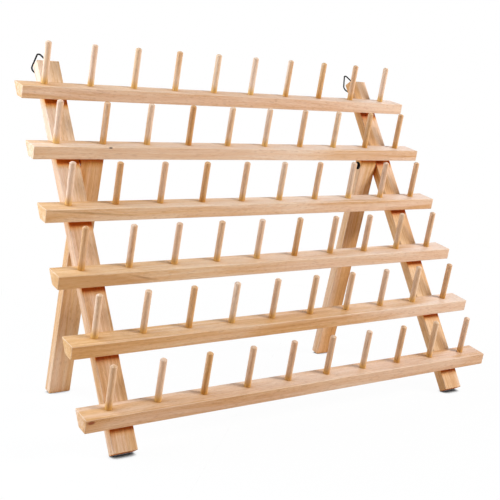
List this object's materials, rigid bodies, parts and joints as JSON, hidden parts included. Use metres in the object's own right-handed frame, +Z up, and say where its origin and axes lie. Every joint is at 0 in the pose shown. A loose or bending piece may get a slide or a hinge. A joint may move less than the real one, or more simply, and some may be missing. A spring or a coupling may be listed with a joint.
{
  "type": "thread_rack",
  "caption": "Folding beech thread rack: tilted shelves of domed spool pins on two leaning front legs, with hinged rear legs and a pair of wire hanging rings.",
  "frame": {"origin": "On the floor, under the middle of the rack's outline.", "axes": "+X runs along the shelves, to the right as seen from the front; +Y runs from the front of the rack towards the rear legs; +Z is up."},
  "size_m": [0.404, 0.1774, 0.2968],
  "materials": {
    "beech": "bare, sanded",
    "black_steel": "blackened",
    "bright_steel": "zinc plated"
  },
  "bodies": {
    "rack": {"left_front_leg": "beech", "right_front_leg": "beech", "shelf_1": "beech", "shelf_2": "beech", "shelf_3": "beech", "shelf_4": "beech", "shelf_5": "beech", "shelf_6": "beech", "pins_1": "beech", "pins_2": "beech", "pins_3": "beech", "pins_4": "beech", "pins_5": "beech", "pins_6": "beech", "left_shelf_screws": "bright_steel", "right_shelf_screws": "bright_steel", "left_pivot_screw": "black_steel", "right_pivot_screw": "black_steel", "left_pivot_washer": "bright_steel", "right_pivot_washer": "bright_steel", "left_hanger_strap": "black_steel", "right_hanger_strap": "black_steel", "left_strap_screw": "black_steel", "right_strap_screw": "black_steel"},
    "left_rear": {"left_rear_leg": "beech"},
    "right_rear": {"right_rear_leg": "beech"},
    "left_ring": {"left_hanger_ring": "black_steel"},
    "right_ring": {"right_hanger_ring": "black_steel"}
  },
  "joints": [
    {"name": "left_rear_fold", "type": "hinge", "parent": "rack", "child": "left_rear", "pos_m": [-0.1497, 0.02734, 0.19948], "axis": [-1, 0, 0], "range_deg": [0, 43.8]},
    {"name": "right_rear_fold", "type": "hinge", "parent": "rack", "child": "right_rear", "pos_m": [0.1447, 0.02734, 0.19948], "axis": [-1, 0, 0], "range_deg": [0, 43.8]},
    {"name": "left_ring_swing", "type": "hinge", "parent": "rack", "child": "left_ring", "pos_m": [-0.1698, 0.07348, 0.27059], "axis": [-1, 0, 0], "range_deg": [-11.5, 158.5]},
    {"name": "right_ring_swing", "type": "hinge", "parent": "rack", "child": "right_ring", "pos_m": [0.1648, 0.07348, 0.27059], "axis": [-1, 0, 0], "range_deg": [-11.5, 158.5]}
  ]
}
